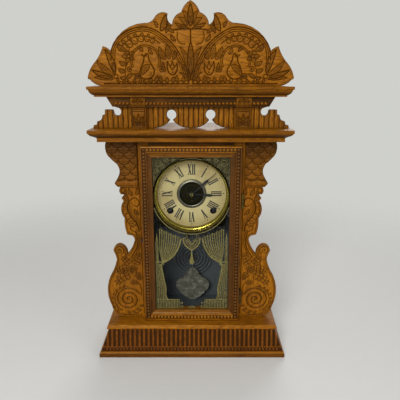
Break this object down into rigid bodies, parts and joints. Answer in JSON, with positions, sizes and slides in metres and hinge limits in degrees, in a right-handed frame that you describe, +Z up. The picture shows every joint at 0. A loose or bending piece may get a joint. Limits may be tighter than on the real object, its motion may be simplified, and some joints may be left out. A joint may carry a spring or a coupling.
{
  "type": "gingerbread mantel clock",
  "caption": "Oak gingerbread kitchen clock with a scrolled crest, reeded frieze, glazed door, spring movement, pendulum and coil gong; stands on a shelf and tells the time.",
  "frame": {"origin": "centre of the plinth's underside", "axes": "+Z up, the dial and door face -Y, +X to the viewer's right"},
  "size_m": [0.338, 0.13, 0.61],
  "materials": {
    "oak": "aged varnish",
    "red_oak": "aged varnish",
    "back_wood": "dull",
    "brass": "tarnished",
    "steel": "blued",
    "black_steel": "black",
    "iron": "dark",
    "glass": "clear",
    "dial_paper": "aged paper",
    "bob_metal": "old nickel"
  },
  "bodies": {
    "case": {"base_plinth": "oak", "base_ledge": "oak", "case_sides": "oak", "case_top": "oak", "front_cross_rails": "oak", "left_fret": "oak", "right_fret": "oak", "scale_brackets": "oak", "shelf_cornice": "oak", "frieze_board": "oak", "frieze_blocks": "oak", "bead_strip": "oak", "top_cornice": "oak", "crest": "oak", "base_apron": "red_oak", "base_ends": "red_oak", "case_back": "back_wood", "dial_rails": "back_wood", "hinge_case_leaves": "brass", "dial_pan": "brass", "dial_bezel": "brass", "dial_centre_ring": "brass", "screws_and_nuts": "brass", "front_plate": "brass", "back_plate": "brass", "pillars": "brass", "mainsprings": "steel", "gong_coil": "steel", "gong_base": "iron", "dial_paper": "dial_paper"},
    "door": {"door_left_stile": "red_oak", "door_right_stile": "red_oak", "door_top_rail": "red_oak", "door_bottom_rail": "red_oak", "door_glass": "glass", "glass_beads": "red_oak", "hinge_door_leaves": "brass", "hinge_pins": "brass", "door_pull": "black_steel"},
    "minute": {"minute_hand": "black_steel", "hand_nut": "brass", "cannon_pinion": "brass"},
    "minute_idler": {"minute_wheel": "brass"},
    "hour": {"hour_hand": "black_steel", "hour_wheel": "brass"},
    "time_winder": {"time_winding_arbor": "steel"},
    "strike_winder": {"strike_winding_arbor": "steel"},
    "time_great": {"time_great_wheel": "brass"},
    "time_second": {"time_second_wheel": "brass"},
    "centre": {"centre_wheel": "brass"},
    "third": {"third_wheel": "brass"},
    "escape": {"escape_wheel": "brass"},
    "verge": {"verge": "steel"},
    "pendulum": {"pendulum_rod": "steel", "pendulum_bob": "bob_metal"},
    "strike_great": {"strike_great_wheel": "brass"},
    "strike_second": {"strike_second_wheel": "brass"},
    "strike_pin": {"strike_pin_wheel": "brass"},
    "fly": {"strike_fly": "brass"},
    "hammer": {"hammer": "iron"}
  },
  "joints": [
    {"name": "door_hinge", "type": "hinge", "parent": "case", "child": "door", "pos_m": [0.0874, -0.04, 0.2], "axis": [0, 0, 1], "range_deg": [0, 110]},
    {"name": "minute_turn", "type": "hinge", "parent": "case", "child": "minute", "pos_m": [0, -0.005, 0.295], "axis": [0, 1, 0], "continuous": true},
    {"name": "minute_idler_turn", "type": "hinge", "parent": "case", "child": "minute_idler", "pos_m": [0.006, 0, 0.28461], "axis": [0, 1, 0], "continuous": true},
    {"name": "hour_turn", "type": "hinge", "parent": "case", "child": "hour", "pos_m": [0, -0.005, 0.295], "axis": [0, 1, 0], "continuous": true},
    {"name": "time_wind", "type": "hinge", "parent": "case", "child": "time_winder", "pos_m": [0.0386, 0.015, 0.2635], "axis": [0, 1, 0], "continuous": true},
    {"name": "strike_wind", "type": "hinge", "parent": "case", "child": "strike_winder", "pos_m": [-0.0386, 0.015, 0.2635], "axis": [0, 1, 0], "continuous": true},
    {"name": "third_turn", "type": "hinge", "parent": "case", "child": "third", "pos_m": [0.00472, 0.015, 0.31392], "axis": [0, 1, 0], "continuous": true},
    {"name": "centre_turn", "type": "hinge", "parent": "case", "child": "centre", "pos_m": [0, 0.015, 0.295], "axis": [0, 1, 0], "continuous": true},
    {"name": "time_second_turn", "type": "hinge", "parent": "case", "child": "time_second", "pos_m": [0.01838, 0.015, 0.28484], "axis": [0, 1, 0], "continuous": true},
    {"name": "time_great_turn", "type": "hinge", "parent": "case", "child": "time_great", "pos_m": [0.0386, 0.008, 0.2635], "axis": [0, 1, 0], "continuous": true},
    {"name": "escape_turn", "type": "hinge", "parent": "case", "child": "escape", "pos_m": [0, 0.015, 0.328], "axis": [0, 1, 0], "continuous": true},
    {"name": "pendulum_swing", "type": "hinge", "parent": "case", "child": "pendulum", "pos_m": [0, 0.038, 0.346], "axis": [0, 1, 0], "range_deg": [-5, 5]},
    {"name": "verge_rock", "type": "hinge", "parent": "case", "child": "verge", "pos_m": [0, 0.025, 0.346], "axis": [0, 1, 0], "range_deg": [-5, 5]},
    {"name": "strike_pin_turn", "type": "hinge", "parent": "case", "child": "strike_pin", "pos_m": [-0.02957, 0.015, 0.30094], "axis": [0, 1, 0], "continuous": true},
    {"name": "strike_second_turn", "type": "hinge", "parent": "case", "child": "strike_second", "pos_m": [-0.01838, 0.015, 0.28484], "axis": [0, 1, 0], "continuous": true},
    {"name": "strike_great_turn", "type": "hinge", "parent": "case", "child": "strike_great", "pos_m": [-0.0386, 0.008, 0.2635], "axis": [0, 1, 0], "continuous": true},
    {"name": "fly_turn", "type": "hinge", "parent": "case", "child": "fly", "pos_m": [-0.02524, 0.015, 0.31425], "axis": [0, 1, 0], "continuous": true},
    {"name": "hammer_lift", "type": "hinge", "parent": "case", "child": "hammer", "pos_m": [-0.048, 0.035, 0.303], "axis": [0, 1, 0], "range_deg": [0, 12]}
  ],
  "couplings": [
    {"joint": "minute_idler_turn", "follows": "minute_turn", "ratio": -0.33333},
    {"joint": "hour_turn", "follows": "minute_turn", "ratio": 0.083333},
    {"joint": "centre_turn", "follows": "third_turn", "ratio": -0.083333},
    {"joint": "time_second_turn", "follows": "third_turn", "ratio": 0.020833},
    {"joint": "time_great_turn", "follows": "third_turn", "ratio": -0.0034722},
    {"joint": "escape_turn", "follows": "third_turn", "ratio": -10},
    {"joint": "verge_rock", "follows": "pendulum_swing", "ratio": 1},
    {"joint": "strike_second_turn", "follows": "strike_pin_turn", "ratio": -0.16667},
    {"joint": "strike_great_turn", "follows": "strike_pin_turn", "ratio": 0.027778},
    {"joint": "fly_turn", "follows": "strike_pin_turn", "ratio": -6}
  ]
}
